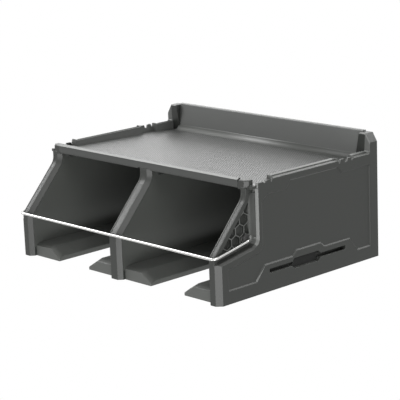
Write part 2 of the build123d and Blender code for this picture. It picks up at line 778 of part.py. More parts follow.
def build():
    """Every sub-part by its node name, in assembly position."""
    parts = drilled_parts()
    parts |= both_sides("pivot_bush", pivot_bush())
    parts |= both_sides("bail_clip", bail_clip())
    parts["retaining_bail"] = retaining_bail()
    parts["floor_screws"] = screws(floor_screw_places())
    parts["deck_screws"] = screws(deck_screw_places())
    parts["back_panel_screws"] = screws(panel_screw_places())
    return parts


os.makedirs("parts", exist_ok=True)
for name, part in build().items():
    placed = Pos(0, 0, -MOUNT_Z) * part
    export_step(placed, "parts/" + name + ".step")
    print(name, "volume", round(placed.volume), "size", placed.bounding_box().size)
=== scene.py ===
# %% [markdown]
# # A wall rack for two power tools
#
# The real rack is moulded from dark, finely grained plastic. It has two bays that are open at the
# front, a knurled tray on top, and one bright wire that swings up over both bays.
# The solid model already has every rigid shape at its real size. This file gives those shapes their
# rounded edges, their surface texture, their finishes, a camera and some studio light.

# %% Load the solid model
import math

import bmesh
import bpy
from mathutils import Matrix, Vector


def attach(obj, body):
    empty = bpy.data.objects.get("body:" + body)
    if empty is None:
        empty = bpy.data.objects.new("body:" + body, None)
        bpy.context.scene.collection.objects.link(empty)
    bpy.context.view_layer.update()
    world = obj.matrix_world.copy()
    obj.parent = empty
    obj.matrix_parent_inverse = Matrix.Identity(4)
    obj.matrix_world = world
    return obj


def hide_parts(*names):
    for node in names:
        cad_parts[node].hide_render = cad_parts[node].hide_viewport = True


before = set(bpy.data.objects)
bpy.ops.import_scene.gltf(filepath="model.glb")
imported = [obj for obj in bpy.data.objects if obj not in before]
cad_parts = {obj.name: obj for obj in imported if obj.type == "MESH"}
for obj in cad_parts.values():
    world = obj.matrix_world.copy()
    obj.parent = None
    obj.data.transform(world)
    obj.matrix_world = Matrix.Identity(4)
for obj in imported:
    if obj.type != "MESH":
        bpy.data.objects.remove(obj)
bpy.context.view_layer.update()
scene = bpy.context.scene

# %% [markdown]
# ## Sizes
#
# All places are in metres in the model's own frame: X to the right, Y into the wall, Z up, with the
# origin at the middle of the wall screw holes. The underside is 85 mm below the origin. Outlines of
# small details are drawn in mm, with heights from the underside, and become metres in the mesh.

# %% Named sizes
MM = 0.001
UNDERSIDE_Z = -85 * MM
DECK_FRONT_Y = -264 * MM
DECK_REAR_Y = -17.5 * MM
DECK_FRONT_Z = UNDERSIDE_Z + 157 * MM
DECK_REAR_Z = UNDERSIDE_Z + 150 * MM
DECK_HALF = 208 * MM
print("tray falls", round((DECK_FRONT_Z - DECK_REAR_Z) / MM, 1), "mm towards the wall")

# %% [markdown]
# ## Camera
#
# The camera stands to the right of the rack, a little above it, with a long lens, so that upright
# edges stay nearly parallel. It leans by about two degrees. The three axes of the camera are built
# from the viewing angles, which is easier to check than a rotation typed in by hand.

# %% Camera
CAMERA_PLACE = Vector((1.7272, -1.7834, 0.6587)) + Vector((0, 0, UNDERSIDE_Z))
CAMERA_AZIMUTH = math.radians(46.74)
CAMERA_ELEVATION = math.radians(13.6)
CAMERA_LEAN = math.radians(-2.24)
FOCAL_LENGTH = 143.7
SENSOR_WIDTH = 36.0
FARTHEST_SEEN = 50.0


def camera_axes():
    """Right, up and backward directions of the camera."""
    sin_a, cos_a = math.sin(CAMERA_AZIMUTH), math.cos(CAMERA_AZIMUTH)
    sin_e, cos_e = math.sin(CAMERA_ELEVATION), math.cos(CAMERA_ELEVATION)
    forward = Vector((-sin_a * cos_e, cos_a * cos_e, -sin_e))
    level = Vector((cos_a, sin_a, 0))
    upright = level.cross(forward)
    right = level * math.cos(CAMERA_LEAN) + upright * math.sin(CAMERA_LEAN)
    up = upright * math.cos(CAMERA_LEAN) - level * math.sin(CAMERA_LEAN)
    return right, up, -forward


right, up, back = camera_axes()
turn = Matrix((right, up, back)).transposed().to_4x4()
camera_data = bpy.data.cameras.new("camera")
camera_data.lens = FOCAL_LENGTH
camera_data.sensor_width = SENSOR_WIDTH
camera_data.clip_end = FARTHEST_SEEN
camera = bpy.data.objects.new("camera", camera_data)
camera.matrix_world = Matrix.Translation(CAMERA_PLACE) @ turn
scene.collection.objects.link(camera)
scene.camera = camera
print("camera is", round(CAMERA_PLACE.length, 2), "m from the origin")

# %% [markdown]
# ## World and floor
#
# The rack hangs on a wall, so the floor is well below it. The world is white where the camera,
# gloss or glass sees it directly, and dimmer as a light, so that a white surround doesn't wash out
# the dark plastic.

# %% World
WORLD_SEEN = 1.0
WORLD_LIGHT = 0.42
world =bpy.data.worlds.new("studio")
scene.world = world
world.use_nodes = True
tree = world.node_tree
tree.nodes.clear()
output = tree.nodes.new("ShaderNodeOutputWorld")
seen = tree.nodes.new("ShaderNodeBackground")
seen.inputs["Color"].default_value = (1, 1, 1, 1)
seen.inputs["Strength"].default_value = WORLD_SEEN
lighting = tree.nodes.new("ShaderNodeBackground")
lighting.inputs["Color"].default_value = (1, 1, 1, 1)
lighting.inputs["Strength"].default_value = WORLD_LIGHT
path = tree.nodes.new("ShaderNodeLightPath")
camera_or_gloss = tree.nodes.new("ShaderNodeMath")
camera_or_gloss.operation = "MAXIMUM"
tree.links.new(path.outputs["Is Camera Ray"], camera_or_gloss.inputs[0])
tree.links.new(path.outputs["Is Glossy Ray"], camera_or_gloss.inputs[1])
any_seen = tree.nodes.new("ShaderNodeMath")
any_seen.operation = "MAXIMUM"
tree.links.new(camera_or_gloss.outputs[0], any_seen.inputs[0])
tree.links.new(path.outputs["Is Transmission Ray"], any_seen.inputs[1])
mix = tree.nodes.new("ShaderNodeMixShader")
tree.links.new(any_seen.outputs[0], mix.inputs["Fac"])
tree.links.new(lighting.outputs[0], mix.inputs[1])
tree.links.new(seen.outputs[0], mix.inputs[2])
tree.links.new(mix.outputs[0], output.inputs["Surface"])
scene.view_settings.view_transform = "Standard"
print("world light", WORLD_LIGHT)

# %% Floor
FLOOR_Z = -1.1
FLOOR_HALF = 1.0
FLOOR_COLOUR = (0.82, 0.82, 0.81, 1)
FLOOR_ROUGHNESS = 0.7


def floor_material():
    """Plain pale paint."""
    material = bpy.data.materials.new("pale_floor")
    material.use_nodes = True
    shader = material.node_tree.nodes["Principled BSDF"]
    shader.inputs["Base Color"].default_value = FLOOR_COLOUR
    shader.inputs["Roughness"].default_value = FLOOR_ROUGHNESS
    return material


floor_mesh = bpy.data.meshes.new("floor")
corners = [(x, y, FLOOR_Z) for x, y in ((-1, -1), (1, -1), (1, 1), (-1, 1))]
corners = [(x * FLOOR_HALF, y * FLOOR_HALF, z) for x, y, z in corners]
floor_mesh.from_pydata(corners, [], [(0, 1, 2, 3)])
floor_mesh.materials.append(floor_material())
floor = bpy.data.objects.new("floor", floor_mesh)
scene.collection.objects.link(floor)
print("floor at", FLOOR_Z)

# %% [markdown]
# ## Lamps
#
# Dark plastic shows its shape mostly by what it mirrors, so each lamp stands where some face of the
# rack mirrors it softly towards the camera. Two strong ones, at the upper left and low at the
# right, light the tray and the side wall. Seven weaker ones lift the beam, the rails, the back and
# the feet of the walls.


# %% Lamps
def soft_lamp(name, place, aim, size, power):
    """Square area lamp that points at a place; the camera doesn't see it."""
    data = bpy.data.lights.new(name, "AREA")
    data.shape = "SQUARE"
    data.size = size
    data.energy = power
    lamp = bpy.data.objects.new(name, data)
    lamp.location = place
    direction = Vector(aim) - Vector(place)
    lamp.rotation_euler = direction.to_track_quat("-Z", "Y").to_euler()
    lamp.visible_camera = False
    scene.collection.objects.link(lamp)
    return lamp


# Place and aim in metres, width in metres, power in watts.
LAMPS = {
    "lamp_upper_left": ((-1.5, -0.6, 1.4), (0, -0.2, 0), 1.3, 41),
    "lamp_top_left": ((-1.5, 0.6, 1.45), (0, -0.2, 0.05), 0.9, 4),
    "lamp_behind": ((-2.2, 2.0, 0.7), (0, -0.15, 0.05), 1.3, 10),
    "lamp_low": ((1.7, -1.8, -0.5), (0.1, -0.3, 0), 1.2, 42),
    "lamp_front": ((-1.6, -1.7, -0.3), (0, -0.3, 0), 1.2, 0.7),
    "lamp_upper_right": ((1.3, -0.8, 1.4), (0, -0.2, 0), 1.2, 18),
    "lamp_rear": ((-0.5, 1.5, 1.5), (0.1, -0.15, 0), 1.2, 4),
    "lamp_rear_right": ((0.9, 1.3, 1.3), (0.1, -0.15, 0), 1.0, 20),
    "lamp_foot": ((0.0, -2.5, -0.6), (0, -0.3, -0.05), 1.2, 15),
}
for name, (place, aim, size, power) in LAMPS.items():
    soft_lamp(name, place, aim, size, power)
print("soft lamps", len(LAMPS))

# %% [markdown]
# ## Front line of the walls
#
# Both side walls and the divider share one side view: an upright foot, a rounded knee, a straight
# incline and an upright top. Several details follow that line at a fixed distance inside it, so it
# is worked out once here, as points in side view. A point moves inwards against its own normal.

# %% Front line
FOOT_FRONT = -336.0
POST_FRONT = -270.5
POST_TOP = 154.8
INCLINE_ANGLE = math.atan2(72.0, 65.5)
# Depth and height of the centre, and radius, of the bends below and above the incline.
KNEE_LOW = (-320.0, 61.8, 16.0)
KNEE_TOP = (-288.5, 147.0, 18.0)
KNEE_STEPS = 6


def front_line(inset, low_z, high_z):
    """Side view points of a wall's front, moved inwards, in mm from the underside."""
    points = [(FOOT_FRONT + inset, low_z)]
    tilt = math.pi / 2 - INCLINE_ANGLE
    for step in range(KNEE_STEPS + 1):
        turn = tilt * step / KNEE_STEPS
        reach = KNEE_LOW[2] - inset
        points.append((KNEE_LOW[0] - reach * math.cos(turn), KNEE_LOW[1] + reach * math.sin(turn)))
    for step in range(KNEE_STEPS + 1):
        turn = tilt * (1 - step / KNEE_STEPS)
        reach = KNEE_TOP[2] + inset
        points.append((KNEE_TOP[0] + reach * math.cos(turn), KNEE_TOP[1] - reach * math.sin(turn)))
    points.append((POST_FRONT + inset, high_z))
    return points


print("front line points", len(front_line(0, 0, POST_TOP)))

# %% [markdown]
# ## Prisms as tools
#
# Most small details run straight along one axis, so a side view or a front view pulled to a length
# describes them. Such a prism is either a piece of its own, or a cutter that a boolean takes away
# from a wall. The exact solver is the slower one, but it copes with faces that lie on each other.


# %% Helper: prisms and booleans
def add_prism(work, near, far):
    """Closed prism between two rings of points in mm, with heights from the underside."""
    rings = [
        [work.verts.new((x * MM, y * MM, UNDERSIDE_Z + z * MM)) for x, y, z in ring]
        for ring in (near, far)
    ]
    near, far = rings
    count = len(near)
    caps = [work.faces.new(near), work.faces.new(far)]
    walls = [
        work.faces.new((near[i], near[(i + 1) % count], far[(i + 1) % count], far[i]))
        for i in range(count)
    ]
    bmesh.ops.recalc_face_normals(work, faces=caps + walls)


def prism_object(name, outlines, start, end, view="side"):
    """Object with one prism for each outline: side view along X, front view along Y."""
    work = bmesh.new()
    for outline in outlines:
        if view == "side":
            rings = [[(along, y, z) for y, z in outline] for along in (start, end)]
        else:
            rings = [[(x, along, z) for x, z in outline] for along in (start, end)]
        add_prism(work, *rings)
    mesh = bpy.data.meshes.new(name)
    work.to_mesh(mesh)
    work.free()
    thing = bpy.data.objects.new(name, mesh)
    scene.collection.objects.link(thing)
    return thing


def combine(base, other, operation):
    """Boolean of two objects, kept in the first; the second is thrown away."""
    step = base.modifiers.new("shape", "BOOLEAN")
    step.operation = operation
    step.solver = "EXACT"
    step.object = other
    mesh = bpy.data.meshes.new_from_object(
        base.evaluated_get(bpy.context.evaluated_depsgraph_get())
    )
    base.modifiers.clear()
    base.data = mesh
    bpy.data.objects.remove(other)


# %% [markdown]
# ## Recess, honeycomb and rails
#
# The recess for the wire has a thin lip along the front, a honeycomb floor right up to that lip,
# and a small boss for the bush. The rails on top of the side walls are stepped: a high inner strip,
# a groove, and a lower outer lip. These are small cuts into the solid's shape, so they are made
# with boolean cutters. All are drawn for the right side, and the left side mirrors them.

# %% Sizes of the recess and the rails
# In mm: X from the middle, depth from the wall, height from the underside.
LIP = 2.2
SOLID_LIP = 8.5
LIP_RISE = 0.6
RECESS_TOP = 146.0
RECESS_CORNER = (-345.0, 57.0)
RECESS_RUN, RECESS_CLIMB = 79.0, 13.5
RECESS_CORNER_GAP = 0.1
RECESS_REAR_WALL = [(-263.0, 84.5), (-256.8, 84.5), (-256.8, 146.0), (-263.0, 146.0)]
POCKET_FLOOR_X = 205.0
OPEN_X = 213.0
REAR_WALL_X = (POCKET_FLOOR_X + 0.02, 215.8)
CELL_PITCH = 16.6
CELL_RIB = 1.5
CELL_CENTRE = (-285.8, 80.5)
CELL_ROWS, CELL_COLUMNS = range(-2, 6), range(-4, 4)
CELLS_X = (200.4, 209.0)
CELLS_GAP, CELLS_REAR, CELLS_RISE, CELLS_TOP = 0.6, -259.5, 3.0, 145.0
CELLS_LIMIT_X = (200.0, 210.0)
PIVOT = (-268.0, 81.5)
BOSS_R = 7.4
BOSS_X = (199.0, 211.0)
# Each rail: front end, rear end and top.
RAILS = ((-224.0, -88.0, 165.3), (-53.0, -18.5, 164.0))
# Across a rail: X, and height above the rail's top.
RAIL_SLOPE = [(209.0, 0.0), (212.6, -1.5), (212.6, 2.0), (209.0, 2.0)]
RAIL_GROOVE = [(212.4, -3.6), (215.2, -3.6), (215.2, 4.0), (212.4, 4.0)]
RAIL_LIP = [(215.0, -2.6), (217.8, -2.6), (220.6, -3.8), (220.6, 4.0), (215.0, 4.0)]
print("rails on each side", len(RAILS))


# %% Cutters of a side wall
def low_line(y, rise):
    """Height of the recess's lower edge at depth y, raised a little."""
    along = y - RECESS_CORNER[0]
    return RECESS_CORNER[1] + along * RECESS_CLIMB / RECESS_RUN + rise


def lip_line(inset):
    """Front line inside the recess, moved inwards from the wall's front."""
    return front_line(inset, low_line(FOOT_FRONT + inset, LIP_RISE), RECESS_TOP)


def recess_outline(inset, rear_y, rise, high_z):
    """Outline of the recess floor inside a lip."""
    front = [
        (y, z)
        for y, z in front_line(inset, 0, high_z)
        if z > low_line(y, rise) + RECESS_CORNER_GAP
    ]
    corner =(front[0][0], low_line(front[0][0], rise))
    return [corner] + front + [(rear_y, high_z), (rear_y, low_line(rear_y, rise))]


def disc(centre, radius, count=24):
    """Side view circle as points."""
    turns = [2 * math.pi * i / count for i in range(count)]
    return [(centre[0] + radius * math.cos(t), centre[1] + radius * math.sin(t)) for t in turns]


def cell_outlines():
    """Hexagons of the honeycomb in side view."""
    radius = (CELL_PITCH - CELL_RIB) / math.sqrt(3)
    cells = []
    for row in CELL_ROWS:
        for column in CELL_COLUMNS:
            y = CELL_CENTRE[0] + (column + (row % 2) / 2) * CELL_PITCH
            z = CELL_CENTRE[1] + row * CELL_PITCH * math.sqrt(3) / 2
            turns = [math.radians(30 + 60 * i) for i in range(6)]
            cells.append([(y + radius * math.cos(t), z + radius * math.sin(t)) for t in turns])
    return cells


def spans(side, x0, x1):
    """X range on the right, or mirrored to the left."""
    return (x0, x1) if side > 0 else (-x1, -x0)


def cut_rail(wall, side, front, rear, top):
    """Slope, groove and lower outer lip along one rail."""
    for outline in (RAIL_SLOPE, RAIL_GROOVE, RAIL_LIP):
        placed = [(side * x, top + z) for x, z in outline]
        combine(wall, prism_object("rail_cutter", [placed], front, rear, "front"), "DIFFERENCE")


def honeycomb(side):
    """All cells of one side, kept inside the lip and clear of the boss."""
    cells = prism_object("cells", cell_outlines(), *spans(side, *CELLS_X))
    outline = recess_outline(LIP + CELLS_GAP, CELLS_REAR, CELLS_RISE, CELLS_TOP)
    limit = prism_object("cells_limit", [outline], *spans(side, *CELLS_LIMIT_X))
    combine(cells, limit, "INTERSECT")
    boss = prism_object("boss", [disc(PIVOT, BOSS_R)], *spans(side, *BOSS_X))
    combine(cells, boss, "DIFFERENCE")
    return cells


def cut_side_wall(wall, side):
    """Thin lip, honeycomb, rear wall of the recess and stepped rails of one side wall."""
    strip = lip_line(LIP) + lip_line(SOLID_LIP)[::-1]
    lip = prism_object("lip_cutter", [strip], *spans(side, POCKET_FLOOR_X, OPEN_X))
    combine(wall, lip, "DIFFERENCE")
    combine(wall, honeycomb(side), "DIFFERENCE")
    rear_wall = prism_object("rear_cutter", [RECESS_REAR_WALL], *spans(side, *REAR_WALL_X))
    combine(wall, rear_wall, "DIFFERENCE")
    for front, rear, top in RAILS:
        cut_rail(wall, side, front, rear, top)


print("cells drawn", len(cell_outlines()))

# %% [markdown]
# ## Top edge of the beam
#
# The front edge of the beam isn't rounded but sloped: a narrow flat that rises by about 25 degrees
# towards the tray. It faces the bright side of the room, and a strip with a painted highlight lies
# on it, so it is the brightest line on the rack.

# %% Cutter of the beam
BEAM_SLOPE = [(-272.0, 164.7), (-266.0, 167.5), (-266.0, 171.0), (-272.0, 171.0)]
BEAM_HALF = 197.0


def cut_beam(deck):
    """Sloped flat along the beam's top front edge."""
    cutter = prism_object("beam_cutter", [BEAM_SLOPE], -BEAM_HALF, BEAM_HALF)
    combine(deck, cutter, "DIFFERENCE")


run, climb = (BEAM_SLOPE[1][axis] - BEAM_SLOPE[0][axis] for axis in (0, 1))
print("beam slope", round(math.degrees(math.atan2(climb, run))), "degrees")

# %% [markdown]
# ## Rounded edges
#
# No moulded part has a knife edge: each outside edge is rounded by about half a millimetre, and
# that is what draws the thin bright lines along this rack. The solid model has sharp edges, so each
# large moulding gets a copy whose edges are bevelled, and the copy stands for the solid.
# Coincident corners are merged first, so that the bevel finds each edge once. Weighted normals then
# keep the large faces flat, so that only the narrow rounded strips turn the light.


# %% Helper: even triangles
FLAT_ANGLE = 0.002
EDGE_ANGLE = math.radians(26)


def prepare_bevel(mesh, shortest):
    """Well-shaped triangles on flat areas, and a bevel weight on each sharp edge.

    Edges up to `shortest` get no weight, which leaves small screw holes crisp.
    """
    work = bmesh.new()
    work.from_mesh(mesh)
    bmesh.ops.triangulate(work, faces=work.faces)
    flat = [
        edge for edge in work.edges
        if len(edge.link_faces) == 2 and edge.calc_face_angle() < FLAT_ANGLE
    ]
    bmesh.ops.beautify_fill(work, faces=work.faces, edges=flat)
    weight = work.edges.layers.float.new("bevel_weight_edge")
    for edge in work.edges:
        sharp = len(edge.link_faces) == 2 and edge.calc_face_angle() > EDGE_ANGLE
        edge[weight] = 1.0 if sharp and edge.calc_length() > shortest else 0.0
    work.to_mesh(mesh)
    work.free()


print("flat means below", round(math.degrees(FLAT_ANGLE), 2), "degrees")


# %% Helper: a moulding with rounded edges
MERGE_REACH = 2e-6
BEVEL_SEGMENTS = 2
FULL_WEIGHT = 100


def rounded_moulding(node, piece, radius, cut=None, shortest=0.0):
    """Copy of a solid with its sharp edges rounded; it stands for that solid."""
    work = bmesh.new()
    work.from_mesh(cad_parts[node].data)
    bmesh.ops.remove_doubles(work, verts=work.verts, dist=MERGE_REACH)
    for face in work.faces:
        face.smooth = True
    for edge in work.edges:
        edge.smooth = True
    mesh = bpy.data.meshes.new(piece)
    work.to_mesh(mesh)
    work.free()
    if "custom_normal" in mesh.attributes:
        mesh.attributes.remove(mesh.attributes["custom_normal"])
    moulding = bpy.data.objects.new(piece, mesh)
    scene.collection.objects.link(moulding)
    if cut:
        cut(moulding)
    prepare_bevel(moulding.data, shortest)
    bevel = moulding.modifiers.new("rounded edges", "BEVEL")
    bevel.width = radius
    bevel.segments = BEVEL_SEGMENTS
    bevel.limit_method = "WEIGHT"
    bevel.use_clamp_overlap = False
    flatten = moulding.modifiers.new("flat faces stay flat", "WEIGHTED_NORMAL")
    flatten.mode = "FACE_AREA"
    flatten.weight = FULL_WEIGHT
    shaped = bpy.data.meshes.new_from_object(
        moulding.evaluated_get(bpy.context.evaluated_depsgraph_get())
    )
    moulding.modifiers.clear()
    moulding.data = shaped
    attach(moulding, "rack")
    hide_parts(node)
    print(piece, "faces", len(shaped.polygons))
    return moulding


# %% Mouldings
EDGE_R = 0.5 * MM
FINE_EDGE_R = 0.4 * MM
LEDGE_EDGE_R = 0.9 * MM
SCREW_HOLE_EDGE = 1.6 * MM
side_mouldings = [
    rounded_moulding(
        "right_side_panel", "right_side_moulding", EDGE_R, lambda wall: cut_side_wall(wall, 1)
    ),
    rounded_moulding(
        "left_side_panel", "left_side_moulding", EDGE_R, lambda wall: cut_side_wall(wall, -1)
    ),
]
divider_moulding = rounded_moulding("centre_divider", "divider_moulding", EDGE_R)
tray_moulding = rounded_moulding("tray_deck", "tray_moulding", FINE_EDGE_R, cut_beam)
back_moulding = rounded_moulding("back_panel", "back_moulding", EDGE_R, shortest=SCREW_HOLE_EDGE)
bay_mouldings = [
    rounded_moulding("right_bay_floor", "right_bay_moulding", LEDGE_EDGE_R),
    rounded_moulding("left_bay_floor", "left_bay_moulding", LEDGE_EDGE_R),
]

# %% [markdown]
# ## Painted highlights on the beam and rails
#
# The sloped flats along the beam's front edge and the tops of the rails show a bright reflection.
# That highlight is painted: thin strips with a pale colour and a glossier finish lie on those
# flats. They could be a mask in the material, but thin strips stay sharp from any distance and can
# be seen in the mesh.

# %% Painted highlight strips on beam and rails
# Thickness of the strips that carry the painted highlight, in mm.
HIGHLIGHT_STRIP_THICKNESS = 0.3
BEAM_STRIP = ((-271.7, 164.85), (-267.3, 166.9))
BEAM_STRIP_HALF = 196.5
RAIL_STRIP = ((209.3, -0.1), (212.3, -1.35))
RAIL_STRIP_SHORT = 3.0


def strip_outline(start, end):
    """Four corners of a thin strip that lies on a sloped line."""
    return [start, end, (end[0], end[1] + HIGHLIGHT_STRIP_THICKNESS), (start[0], start[1] + HIGHLIGHT_STRIP_THICKNESS)]


def dressed(thing):
    """A piece of the scene that rides on the rack."""
    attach(thing, "rack")
    return thing


beam_strip = [strip_outline(*BEAM_STRIP)]
beam_highlight_strip = prism_object("beam_highlight_strip", beam_strip, -BEAM_STRIP_HALF, BEAM_STRIP_HALF)
painted_highlight = [dressed(beam_highlight_strip)]
for side, label in ((1, "right"), (-1, "left")):
    for (front, rear, top), place in zip(RAILS, ("front", "rear")):
        strip = strip_outline(*((side * x, top + z) for x, z in RAIL_STRIP))
        name = f"{label}_{place}_rail_highlight_strip"
        ends = (front + RAIL_STRIP_SHORT, rear - RAIL_STRIP_SHORT)
        edge = prism_object(name, [strip], *ends, "front")
        painted_highlight.append(dressed(edge))
print("polished edges", len(painted_highlight))

# %% [markdown]
# ## Linings of the bays
#
# Inside the bays the walls are one smooth satin surface. The solid model closes each hollow wall
# with a plate, and the thin joint around it would show, so a lining 0.2 mm thick covers wall and
# joint together. It follows the front line at a fixed distance.

# %% Bay linings
LINING = 0.2
LINING_SINK = 0.1
LINING_INSET = 6.6
LINING_LOW, LINING_TOP = 14.0, 152.6
LINING_REAR = [(-30.0, 146.0), (-30.0, LINING_LOW)]
BAY_INNER, BAY_OUTER = 13.0, 196.0
lining_outline = front_line(LINING_INSET, LINING_LOW, LINING_TOP) + LINING_REAR
linings = []
for name, x0, x1 in (
    ("left_bay_outer_lining", -BAY_OUTER - LINING_SINK, -BAY_OUTER + LINING),
    ("left_bay_inner_lining", -BAY_INNER - LINING, -BAY_INNER + LINING_SINK),
    ("right_bay_inner_lining", BAY_INNER - LINING_SINK, BAY_INNER + LINING),
    ("right_bay_outer_lining", BAY_OUTER - LINING, BAY_OUTER + LINING_SINK),
):
    linings.append(dressed(prism_object(name, [lining_outline], x0, x1)))
print("linings", len(linings))

# %% [markdown]
# ## Cove at the foot of the upstand
#
# Where the tray meets the upstand, the real corner is a hollow curve that wipes clean. A flat slope
# would flash as one bright strip, so a smooth shaded cove along a quadratic curve covers it.

# %% Upstand cove
COVE_START, COVE_CORNER, COVE_END = (-26.5, 150.4), (-18.6, 150.1), (-16.1, 158.4)
COVE_REAR, COVE_BOTTOM = -15.0, 149.4
COVE_HALF = 195.5
COVE_STEPS = 12


def cove_point(share):
    """Point of the quadratic curve from the tray to the upstand."""
    weights = ((1 - share) ** 2, 2 * share * (1 - share), share**2)
    ends = (COVE_START, COVE_CORNER, COVE_END)
    return tuple(sum(w * point[axis] for w, point in zip(weights, ends)) for axis in (0, 1))


cove_outline = [cove_point(step / COVE_STEPS) for step in range(COVE_STEPS + 1)]
cove_outline += [(COVE_REAR, COVE_END[1]), (COVE_REAR, COVE_BOTTOM), (COVE_START[0], COVE_BOTTOM)]
cove = prism_object("upstand_cove", [cove_outline], -COVE_HALF, COVE_HALF)
dressed(cove)
for face in cove.data.polygons:
    faces_up, faces_front = face.normal.z > 0.1, face.normal.y < -0.02
    face.use_smooth = faces_up and faces_front
print("cove faces", len(cove.data.polygons))

# %% [markdown]
# ## Grip on the inclined fronts
#
# A sunk band runs down each inclined front, and its floor is ribbed across, like the grip of a
# knife. The ribs are a zigzag outline in side view, pulled across the band, so each band is one
# closed piece that sits on the band's floor.

# %% Grip ribs
RIB_PITCH = 1.6
RIB_HEIGHT = 0.28
BAND_FLOOR = 0.5
BAND_MARGIN = 2
GRIP_SINK = 0.3
SIDE_GRIP_X = (204.3, 210.2)
DIVIDER_GRIP_HALF = 4.95


def grip_outline():
    """Zigzag along the incline, with its back just inside the wall."""
    line = front_line(BAND_FLOOR, 0, POST_TOP)
    low, high = line[KNEE_STEPS + 1], line[KNEE_STEPS + 2]
    run = math.dist(low, high)
    along = ((high[0] - low[0]) / run, (high[1] - low[1]) / run)
    out = (-along[1], along[0])
    count = int((run - 2 * BAND_MARGIN) / (RIB_PITCH / 2))
    teeth = []
    for step in range(count + 1):
        reach, rise = BAND_MARGIN + step * RIB_PITCH / 2, RIB_HEIGHT * (step % 2)
        teeth.append(
            (low[0] + along[0] * reach + out[0] * rise, low[1] + along[1] * reach + out[1] * rise)
        )
    back = [(y - out[0] * GRIP_SINK, z - out[1] * GRIP_SINK) for y, z in (teeth[-1], teeth[0])]
    return teeth + back


grips = []
for name, x0, x1 in (
    ("left_grip", *spans(-1, *SIDE_GRIP_X)),
    ("divider_grip", -DIVIDER_GRIP_HALF, DIVIDER_GRIP_HALF),
    ("right_grip", *spans(1, *SIDE_GRIP_X)),
):
    grips.append(dressed(prism_object(name, [grip_outline()], x0, x1)))
print("grips", len(grips), "points each", len(grip_outline()))

# %% [markdown]
# ## Knurl of the tray
#
# The tray has a knurled surface that stops things from sliding. Each knob is a low four-sided
# pyramid, about 4 mm wide and 6 mm long, set in diagonal rows. They are real mesh, because the
# pattern shows where the light grazes the tray. The valleys lie just below the tray's own surface.

# %% Knurl
KNURL_STEP_X = 2.05 * MM
KNURL_STEP_Y = 2.93 * MM
KNURL_HEIGHT = 0.3 * MM
KNURL_SINK = 0.02 * MM
KNURL_MARGIN = 2.0 * MM
KNURL_REAR_GAP = 6 * MM


def deck_z(y):
    """Height of the tray's surface at depth y."""
    share = (y - DECK_FRONT_Y) / (DECK_REAR_Y - DECK_FRONT_Y)
    return DECK_FRONT_Z + (DECK_REAR_Z - DECK_FRONT_Z) * share


def knurl_mesh(half_x, y0, y1):
    """Diagonal field of low pyramids, cut off straight at its borders."""
    work = bmesh.new()
    valleys = {}

    def valley(i, j):
        if (i, j) not in valleys:
            x, y = i * KNURL_STEP_X, y0 + j * KNURL_STEP_Y
            valleys[(i, j)] = work.verts.new((x, y, deck_z(y) - KNURL_SINK))
        return valleys[(i, j)]

    columns = int(half_x / KNURL_STEP_X) + 2
    rows = int((y1 - y0) / KNURL_STEP_Y) + 2
    for i in range(-columns, columns + 1):
        for j in range(-1, rows + 1):
            if (i + j) % 2:
                continue
            ring = [valley(i + 1, j), valley(i, j + 1), valley(i - 1, j), valley(i, j - 1)]
            y = y0 + j * KNURL_STEP_Y
            peak = work.verts.new((i * KNURL_STEP_X, y, deck_z(y) + KNURL_HEIGHT))
            for k in range(4):
                work.faces.new((ring[k], ring[(k + 1) % 4], peak))
    for place, normal in (
        ((half_x, 0, 0), (1, 0, 0)),
        ((-half_x, 0, 0), (-1, 0, 0)),
        ((0, y0, 0), (0, -1, 0)),
        ((0, y1, 0), (0, 1, 0)),
    ):
        everything = work.verts[:] + work.edges[:] + work.faces[:]
        bmesh.ops.bisect_plane(
            work, geom=everything, plane_co=place, plane_no=normal, clear_outer=True
        )
    mesh = bpy.data.meshes.new("tray_knurl")
    work.to_mesh(mesh)
    work.free()
    return mesh


knurl_y = (DECK_FRONT_Y + KNURL_MARGIN, DECK_REAR_Y - KNURL_REAR_GAP)
knurl = bpy.data.objects.new("tray_knurl", knurl_mesh(DECK_HALF - KNURL_MARGIN, *knurl_y))
scene.collection.objects.link(knurl)
dressed(knurl)
print("knurl faces", len(knurl.data.polygons))

# %% [markdown]
# ## Shared surface effects
#
# Two effects appear in several finishes, so each is a node group. The first is the fine grain of a
# spark-eroded mould, with slow changes of tone over a hand's breadth. The second is the film of
# dust that gathers on surfaces that face up.


# %% Helper: a new node group
def node_group(name, inputs, outputs):
    """Empty shader node group with named sockets."""
    group = bpy.data.node_groups.new(name, "ShaderNodeTree")
    for label, kind, value in inputs:
        socket = group.interface.new_socket(name=label, in_out="INPUT", socket_type=kind)
        socket.default_value = value
    for label, kind in outputs:
        group.interface.new_socket(name=label, in_out="OUTPUT", socket_type=kind)
    start = group.nodes.new("NodeGroupInput")
    end = group.nodes.new("NodeGroupOutput")
    return group, start, end


# %% Grain group
# How much of the fine grain is added to the slow tone, and the middle of their sum.
FINE_SHARE = 0.35
NOISE_MIDDLE = 0.675
SLOW_SCALE = 9.0


